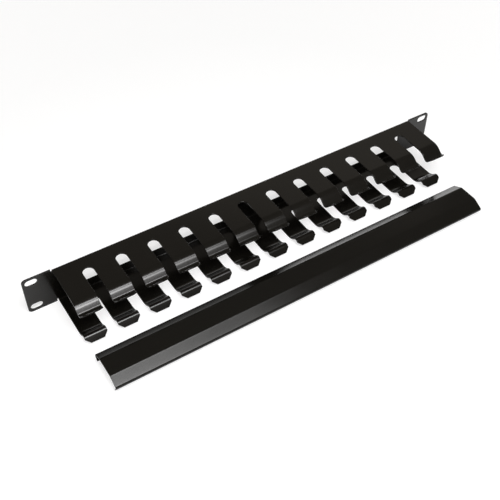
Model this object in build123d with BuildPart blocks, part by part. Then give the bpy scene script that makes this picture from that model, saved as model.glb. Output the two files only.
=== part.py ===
"""Horizontal cable manager, one rack unit high, with its clip-on cover lying in front of it.

Units are mm. The rear face of the rack ears is the plane Y = 0 and the middle of the four rack slots is the origin.
+X is to the right seen from the front, the fingers point to -Y, +Z is up.
Each piece is one folded sheet: the middle line of the sheet is traced to its thickness, swept along X, then cut out.
"""
import os
from math import atan2, cos, degrees, radians, sin, tan

from build123d import *

os.makedirs("parts", exist_ok=True)

# rack standard: overall width, height of one unit, and the rack's screws measured from the edges of both
rack_width = 482.6
rack_unit = 44.45
unit_clearance = 0.75
screw_inset_x = 8.75
screw_inset_z = 6.35

# sheet of the manager and its ears
sheet = 1.5
bend_inside = 1.0
ear_width = 29.7
ear_corner = 4.0
slot_length = 12.0
slot_width = 7.0
relief_width = 1.2
relief_past_bend = 0.5

# combs of fingers, seen from above
finger_count = 13
finger_gap = 11.0
gap_root = 15.8

# folded finger tips, from corner to corner of the outer face, with a wide bend at the shoulder
flat_reach = 51.2
slope_reach = 8.4
slope_drop = 7.2
lip_reach = 6.0
lip_rise = 5.5
shoulder_inside = 13.0
fold_inside = 2.5
tip_chamfer = 4.6

# long openings of the back panel
opening_height = 22.0
opening_bridge = 32.0
opening_margin = 10.6

# cover, and how far it lies from the fingers, from fold line to finger end
cover_sheet = 1.0
cover_bend_inside = 1.5
cover_fold_inside = 5.0
cover_overhang = 1.75
cover_face = 20.4
cover_bevel_angle = 27.0
cover_lip = 7.2
cover_lip_angle = 35.0
snap_clearance = 0.2
snap_past_tip = 2.35
cover_apart = 16.0
cover_shift = 2.25

# sizes that follow from the ones above
height = rack_unit - unit_clearance
half_height = height / 2
slot_spacing_x = rack_width - 2 * screw_inset_x
slot_spacing_z = rack_unit - 2 * screw_inset_z
comb_width = rack_width - 2 * ear_width
finger_pitch = (comb_width + finger_gap) / finger_count
fold_y = -flat_reach - slope_reach
tip_y = fold_y - lip_reach
tip_z = half_height - slope_drop + lip_rise
slope_angle = degrees(atan2(slope_drop, slope_reach))
lip_angle = degrees(atan2(lip_rise, lip_reach))
bend = bend_inside + sheet / 2
shoulder_bend = shoulder_inside + sheet / 2
fold_bend = fold_inside + sheet / 2
cover_bend = cover_bend_inside + cover_sheet / 2
cover_fold = cover_fold_inside + cover_sheet / 2
relief_depth = sheet + bend_inside + relief_past_bend
opening_width = (comb_width - opening_bridge) / 2 - opening_margin
gap_length = -tip_y - gap_root + finger_gap


def inside(outer_corner, angle, next_angle):
    """The middle line's corner, half a sheet inside a corner of the lower flange's outer face.

    The angles are those of the outer face before and after the corner, in degrees, rising towards -Y.
    """
    y, z = outer_corner
    reach = sheet / 2 / cos(radians(next_angle - angle) / 2)
    lean = radians(angle + next_angle) / 2
    return (y + reach * sin(lean), z + reach * cos(lean))


# middle line of the lower flange, from the tip to the back panel, and its mirror image
lower_flange = [
    inside((tip_y, -tip_z), -lip_angle, -lip_angle),
    inside((fold_y, slope_drop - half_height), slope_angle, -lip_angle),
    inside((-flat_reach, -half_height), 0, slope_angle),
    inside((0, -half_height), -90, 0),
]
upper_flange = [(y, -z) for y, z in reversed(lower_flange)]

with BuildPart() as manager_body:
    # the folded channel, tip to tip
    with BuildSketch(Plane.YZ.offset(-comb_width / 2)):
        with BuildLine():
            bends = [fold_bend, shoulder_bend, bend]
            FilletPolyline(*lower_flange, *upper_flange, radius=bends + bends[::-1])
        trace(line_width=sheet)
    extrude(amount=comb_width)

    # rack ears in the plane of the back panel, cut free of the bends at their roots
    with BuildSketch(Plane.XZ):
        with GridLocations(comb_width + ear_width, 0, 2, 1):
            Rectangle(ear_width, height)
        corners_by_x = vertices().group_by(Axis.X)
        fillet(corners_by_x[0] + corners_by_x[-1], radius=ear_corner)
        with GridLocations(comb_width + relief_width, height - relief_depth, 2, 2):
            Rectangle(relief_width, relief_depth, mode=Mode.SUBTRACT)
    extrude(amount=sheet)

    # rack slots and the two long openings of the back panel
    with BuildSketch(Plane.XZ):
        with GridLocations(slot_spacing_x, slot_spacing_z, 2, 2):
            SlotOverall(slot_length, slot_width)
        with GridLocations(opening_width + opening_bridge, 0, 2, 1):
            SlotOverall(opening_width, opening_height)
    extrude(amount=sheet, mode=Mode.SUBTRACT)

    # gaps between the fingers, both combs in one cut
    with BuildSketch(Plane.XY.offset(-half_height)):
        with Locations((0, -gap_root - gap_length / 2)):
            with GridLocations(finger_pitch, 0, finger_count - 1, 1):
                SlotOverall(gap_length, finger_gap, rotation=90)
    extrude(amount=height, mode=Mode.SUBTRACT)

    # cut corners of the finger tips
    finger_ends = manager_body.faces().filter_by(lambda face: face.center().Y < tip_y)
    chamfer(finger_ends.edges().filter_by(Axis.X, reverse=True), length=tip_chamfer)

# The cover's lip passes the corner of the finger's tip at the snap clearance, and bends round past it.
# Half widths and depths are those of the mounted cover; lying on its lips, depth becomes height.
lip = radians(cover_lip_angle)
bevel = radians(cover_bevel_angle)
flank = snap_clearance + cover_sheet / 2
bend_half_width = tip_z + flank * cos(lip) + snap_past_tip * sin(lip)
lip_half_width = bend_half_width - cover_lip * sin(lip)
bevel_height = (bend_half_width - cover_face / 2) * tan(bevel)
lip_foot = -half_height + cover_sheet / 2 * sin(lip)
bend_z = lip_foot + cover_lip * cos(lip)
face_z = bend_z + bevel_height
near_half = [
    (-lip_half_width, lip_foot),
    (-bend_half_width, bend_z),
    (-cover_face / 2, face_z),
]
far_half = [(-y, z) for y, z in reversed(near_half)]
cover_length = comb_width + 2 * cover_overhang
finger_end_y = lower_flange[0][0]
cover_plane = Plane(
    origin=(cover_shift - cover_length / 2, finger_end_y - cover_apart - bend_half_width, 0),
    x_dir=(0, 1, 0),
    z_dir=(1, 0, 0),
)

with BuildPart() as snap_cover:
    with BuildSketch(cover_plane):
        with BuildLine():
            FilletPolyline(*near_half, *far_half, radius=[cover_bend, cover_fold, cover_fold, cover_bend])
        trace(line_width=cover_sheet)
    extrude(amount=cover_length)

manager_body.part.label = "manager_body"
export_step(manager_body.part, "parts/manager_body.step")

snap_cover.part.label = "snap_cover"
export_step(snap_cover.part, "parts/snap_cover.step")
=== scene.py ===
"""A black horizontal cable manager for a 19 inch rack, with its clip-on cover lying in front of it.

Lengths are in metres, in the part's own frame: +X right, -Y out of the rack, +Z up, origin between the rack slots.
"""
from math import cos, radians, sin

import bpy
from mathutils import Matrix, Vector


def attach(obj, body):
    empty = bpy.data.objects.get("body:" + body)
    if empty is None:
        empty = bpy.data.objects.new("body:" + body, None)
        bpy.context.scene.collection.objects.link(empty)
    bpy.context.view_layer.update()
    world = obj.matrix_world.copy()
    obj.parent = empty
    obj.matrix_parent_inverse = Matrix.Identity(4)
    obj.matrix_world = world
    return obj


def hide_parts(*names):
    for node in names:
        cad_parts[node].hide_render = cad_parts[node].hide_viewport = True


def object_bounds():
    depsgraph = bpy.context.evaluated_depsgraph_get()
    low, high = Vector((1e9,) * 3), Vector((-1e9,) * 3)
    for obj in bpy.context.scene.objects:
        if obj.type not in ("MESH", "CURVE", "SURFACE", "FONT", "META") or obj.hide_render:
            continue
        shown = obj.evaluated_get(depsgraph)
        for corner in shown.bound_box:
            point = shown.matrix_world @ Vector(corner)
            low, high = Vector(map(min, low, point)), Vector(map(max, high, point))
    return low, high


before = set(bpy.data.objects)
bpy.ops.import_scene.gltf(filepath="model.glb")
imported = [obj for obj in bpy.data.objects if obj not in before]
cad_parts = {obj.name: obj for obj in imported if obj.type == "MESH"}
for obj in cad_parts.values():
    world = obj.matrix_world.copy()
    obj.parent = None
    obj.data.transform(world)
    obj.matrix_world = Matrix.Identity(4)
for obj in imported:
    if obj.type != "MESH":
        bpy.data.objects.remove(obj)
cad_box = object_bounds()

PHOTO_WIDTH_PX = 500
FOCAL_LENGTH_PX = 829.61
CROP_RIGHT_PX = 12.88
CROP_UP_PX = 4.6
camera_place = Vector((-0.33297, -0.53146, 0.58943))
camera_yaw = radians(33.75)
camera_pitch = radians(46.15)
camera_roll = radians(1.34)

forward = Vector((sin(camera_yaw) * cos(camera_pitch), cos(camera_yaw) * cos(camera_pitch), -sin(camera_pitch)))
level_right = Vector((cos(camera_yaw), -sin(camera_yaw), 0))
level_up = level_right.cross(forward)
right = level_right * cos(camera_roll) + level_up * sin(camera_roll)
up = level_up * cos(camera_roll) - level_right * sin(camera_roll)

lens = bpy.data.cameras.new("camera")
lens.sensor_width = 36
lens.lens = FOCAL_LENGTH_PX / PHOTO_WIDTH_PX * lens.sensor_width
lens.shift_x = -CROP_RIGHT_PX / PHOTO_WIDTH_PX
lens.shift_y = -CROP_UP_PX / PHOTO_WIDTH_PX
lens.clip_start = 0.01
camera = bpy.data.objects.new("camera", lens)
turned = Matrix((right, up, -forward)).transposed()
camera.matrix_world = Matrix.Translation(camera_place) @ turned.to_4x4()
bpy.context.collection.objects.link(camera)
bpy.context.scene.camera = camera

# Manager body: one sheet of steel, cut, folded and powder coated in black.
# The coat rounds the cut edges a little, and lies smooth and half glossy on the flats.
import bmesh

COAT_EDGE_RADIUS = 0.0003
CUT_EDGE_ANGLE = radians(60)
FLAT_ANGLE = radians(0.5)
WELD_DISTANCE = 1e-6
RIPPLE_LENGTH = 0.002
RIPPLE_HEIGHT = 0.0001
CLOUD_LENGTH = 0.06
MANAGER_BLACKS = ("#100f0c", "#13110e")
MANAGER_ROUGHNESS = (0.14, 0.18)
MANAGER_IOR = 1.5


def linear(hex_colour):
    """An sRGB hex colour as a linear colour with alpha."""
    channels = [int(hex_colour[i:i + 2], 16) / 255 for i in (1, 3, 5)]
    return [c / 12.92 if c <= 0.04045 else ((c + 0.055) / 1.055) ** 2.4 for c in channels] + [1]


def add_node(tree, kind, settings, *sources, **links):
    """Adds a node, sets its properties or sockets, and links its inputs, in order or by name."""
    node = tree.nodes.new(kind)
    for name, value in settings.items():
        if isinstance(name, str) and hasattr(node, name):
            setattr(node, name, value)
        else:
            node.inputs[name].default_value = value
    for source, socket in zip(sources, node.inputs):
        tree.links.new(source, socket)
    for name, source in links.items():
        tree.links.new(source, node.inputs[name.replace("_", " ")])
    return node


def coated_sheet(node, name):
    """A copy of a folded sheet, with its cut edges rounded by the coat."""
    sheet = bmesh.new()
    sheet.from_mesh(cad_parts[node].data)
    bmesh.ops.remove_doubles(sheet, verts=sheet.verts, dist=WELD_DISTANCE)
    bmesh.ops.dissolve_limit(sheet, angle_limit=FLAT_ANGLE, verts=sheet.verts, edges=sheet.edges)
    cut_edges = [e for e in sheet.edges if e.is_manifold and e.calc_face_angle() > CUT_EDGE_ANGLE]
    bmesh.ops.bevel(
        sheet,
        geom=cut_edges,
        offset=COAT_EDGE_RADIUS,
        offset_type="OFFSET",
        segments=2,
        profile=0.5,
        affect="EDGES",
        material=-1,
        clamp_overlap=True,
    )
    for face in sheet.faces:
        face.smooth = True
    mesh = bpy.data.meshes.new(name)
    sheet.to_mesh(mesh)
    sheet.free()
    piece = bpy.data.objects.new(name, mesh)
    bpy.context.collection.objects.link(piece)
    shading = piece.modifiers.new("flat faces stay flat", "WEIGHTED_NORMAL")
    shading.keep_sharp = True
    return piece


def powder_coat(name, colour, roughness, ior):
    """Polyester powder coat, oven cured: a black that mirrors the lamps softly.

    It has the 2 mm ripple of paint that flowed in the oven, and 60 mm clouds where the coat is thicker.
    """
    material = bpy.data.materials.new(name)
    material.use_nodes = True
    tree = material.node_tree
    shader = tree.nodes["Principled BSDF"]
    shader.inputs["IOR"].default_value = ior
    place = add_node(tree, "ShaderNodeTexCoord", {}).outputs["Object"]
    ripple = add_node(
        tree, "ShaderNodeTexNoise", {"Scale": 1 / RIPPLE_LENGTH, "Detail": 2, "Roughness": 0.5}, Vector=place
    )
    bump = add_node(
        tree, "ShaderNodeBump", {"Strength": 0.03, "Distance": RIPPLE_HEIGHT}, Height=ripple.outputs["Fac"]
    )
    cloud = add_node(
        tree, "ShaderNodeTexNoise", {"Scale": 1 / CLOUD_LENGTH, "Detail": 3, "Roughness": 0.6}, Vector=place
    )
    tone = add_node(
        tree,
        "ShaderNodeMix",
        {"data_type": "RGBA", "A": linear(colour[0]), "B": linear(colour[1])},
        Factor=cloud.outputs["Fac"],
    )
    gloss = add_node(
        tree,
        "ShaderNodeMapRange",
        {"From Min": 0.3, "From Max": 0.7, "To Min": roughness[0], "To Max": roughness[1]},
        Value=cloud.outputs["Fac"],
    )
    tree.links.new(tone.outputs["Result"], shader.inputs["Base Color"])
    tree.links.new(gloss.outputs["Result"], shader.inputs["Roughness"])
    tree.links.new(bump.outputs["Normal"], shader.inputs["Normal"])
    return material


manager = coated_sheet("manager_body", "coated_manager_body")
manager.data.materials.append(powder_coat("black_powder_coat", MANAGER_BLACKS, MANAGER_ROUGHNESS, MANAGER_IOR))
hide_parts("manager_body")
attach(manager, "root")

# Cover: one thinner folded sheet in the same black coat, which clips over the finger tips by its lips.
# It has been taken off and lies face up on the bench, and its coat mirrors the room a little less.
COVER_BLACKS = ("#11100e", "#141310")
COVER_ROUGHNESS = (0.13, 0.17)
COVER_IOR = 1.4

cover = coated_sheet("snap_cover", "coated_cover")
cover.data.materials.append(powder_coat("satin_black_powder_coat", COVER_BLACKS, COVER_ROUGHNESS, COVER_IOR))
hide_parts("snap_cover")
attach(cover, "root")

# Bench: a matt white paper sweep that the manager and its cover lie on.
# It is seen as white, a little whiter far away, and in the coat's reflections its glow carries a painted shadow: an
# occlusion mask dims it where the part shades it.
floor_level = cad_box[0].z
PAPER_COLOUR = "#b0b0b0"
SWEEP_HALF_WIDTH = 6
SWEEP_FRONT = -6
SWEEP_BACK = 3
SWEEP_RISE = 1
NEAR_LIFT = 0.64
FAR_LIFT = 0.8
NEAR_PAPER = 0.35
FAR_PAPER = 1
SHADOW_REACH = 0.09
SHADOW_DEPTH = 2

sweep = bmesh.new()
rows = []
for y, z in ((SWEEP_FRONT, 0), (SWEEP_BACK, 0), (SWEEP_BACK, SWEEP_RISE)):
    rows.append([sweep.verts.new((side * SWEEP_HALF_WIDTH, y, floor_level + z)) for side in (-1, 1)])
for near, far in zip(rows, rows[1:]):
    sweep.faces.new((near[0], near[1], far[1], far[0]))
paper_mesh = bpy.data.meshes.new("paper_sweep")
sweep.to_mesh(paper_mesh)
sweep.free()
paper_sweep = bpy.data.objects.new("paper_sweep", paper_mesh)
bpy.context.collection.objects.link(paper_sweep)

paper = bpy.data.materials.new("white_paper")
paper.use_nodes = True
tree = paper.node_tree
tree.nodes.remove(tree.nodes["Principled BSDF"])
matt = add_node(tree, "ShaderNodeBsdfDiffuse", {"Color": linear(PAPER_COLOUR)})
rays = add_node(tree, "ShaderNodeLightPath", {})
# Painted shadow: ambient occlusion dims the paper's glow near the part, for reflected and transmitted rays.
open_paper = add_node(tree, "ShaderNodeAmbientOcclusion", {"Distance": SHADOW_REACH, "samples": 12})
shadow = add_node(tree, "ShaderNodeMath", {"operation": "POWER", 1: SHADOW_DEPTH}, open_paper.outputs["AO"])
reflected = add_node(
    tree,
    "ShaderNodeMath",
    {"operation": "MAXIMUM"},
    rays.outputs["Is Glossy Ray"],
    rays.outputs["Is Transmission Ray"],
)
shaded = add_node(tree, "ShaderNodeMath", {"operation": "MULTIPLY"}, reflected.outputs[0], shadow.outputs[0])
seen = add_node(tree, "ShaderNodeMath", {"operation": "MAXIMUM"}, rays.outputs["Is Camera Ray"], shaded.outputs[0])
on_paper = add_node(tree, "ShaderNodeTexCoord", {}).outputs["Object"]
distance = add_node(tree, "ShaderNodeVectorMath", {"operation": "LENGTH"}, on_paper)
paper_lift = add_node(
    tree,
    "ShaderNodeMapRange",
    {"From Min": NEAR_PAPER, "From Max": FAR_PAPER, "To Min": NEAR_LIFT, "To Max": FAR_LIFT},
    distance.outputs["Value"],
)
lift = add_node(tree, "ShaderNodeMath", {"operation": "MULTIPLY"}, seen.outputs[0], paper_lift.outputs["Result"])
glow = add_node(tree, "ShaderNodeEmission", {"Color": linear("#ffffff")}, Strength=lift.outputs[0])
both = add_node(tree, "ShaderNodeAddShader", {}, matt.outputs[0], glow.outputs[0])
tree.links.new(both.outputs[0], tree.nodes["Material Output"].inputs["Surface"])
paper_sweep.data.materials.append(paper)

# Lamps: one large soft box in front and above, with the glow of two tubes behind its cloth, fading to its right.
# Behind on the right a dim card shows in the flat tops, and a low one in the far bevel of the cover.
# The room is dark and a little warm.
room = bpy.data.worlds.new("room")
bpy.context.scene.world = room
room.use_nodes = True
room.node_tree.nodes["Background"].inputs["Color"].default_value = linear("#fff6ea")
room.node_tree.nodes["Background"].inputs["Strength"].default_value = 0.13

TUBE_GLOW_BY_HEIGHT = (
    (0, 0.09),
    (0.25, 0.11),
    (0.33, 1),
    (0.55, 1),
    (0.62, 0.13),
    (0.69, 0.13),
    (0.75, 1),
    (0.84, 1),
    (0.91, 0.1),
)
TUBE_FADE_START = 0.45
TUBE_FADE_END = 0.945


def soft_box(name, place, target, size, power):
    """A rectangular area lamp that looks at a point."""
    lamp = bpy.data.lights.new(name, "AREA")
    lamp.shape = "RECTANGLE"
    lamp.size, lamp.size_y = size
    lamp.energy = power
    box = bpy.data.objects.new(name, lamp)
    box.location = place
    box.rotation_euler = (Vector(target) - Vector(place)).to_track_quat("-Z", "Y").to_euler()
    bpy.context.collection.objects.link(box)
    return lamp


key = soft_box("key_soft_box", (0, -0.66, 1.153), (0, -0.06, 0), (1.3, 0.845), 60)
key.use_nodes = True
tree = key.node_tree
surface = add_node(tree, "ShaderNodeNewGeometry", {})
on_box = add_node(tree, "ShaderNodeSeparateXYZ", {}, surface.outputs["Parametric"])
fade = add_node(
    tree,
    "ShaderNodeMapRange",
    {"From Min": TUBE_FADE_START, "From Max": TUBE_FADE_END, "To Min": 1, "To Max": 0},
    on_box.outputs["X"],
)
tubes = add_node(tree, "ShaderNodeValToRGB", {}, on_box.outputs["Y"])
stops = tubes.color_ramp.elements
stops.remove(stops[1])
stops[0].color = linear("#000000")
for height, brightness in TUBE_GLOW_BY_HEIGHT:
    stops.new(height).color = (brightness, brightness, brightness, 1)
strength = add_node(tree, "ShaderNodeMath", {"operation": "MULTIPLY"}, fade.outputs["Result"], tubes.outputs["Color"])
tree.links.new(strength.outputs[0], tree.nodes["Emission"].inputs["Strength"])

tops_card = soft_box("tops_card", (1.3, 2.05, 1.42), (0, 0, 0), (1.7, 1.45), 1.4)
tops_card.color = linear("#fff7ea")[:3]
soft_box("far_bevel_card", (0.92, 1.05, 0.05), (0.15, -0.1, 0), (0.8, 0.12), 0.85)

bpy.context.scene.view_settings.view_transform = "Standard"
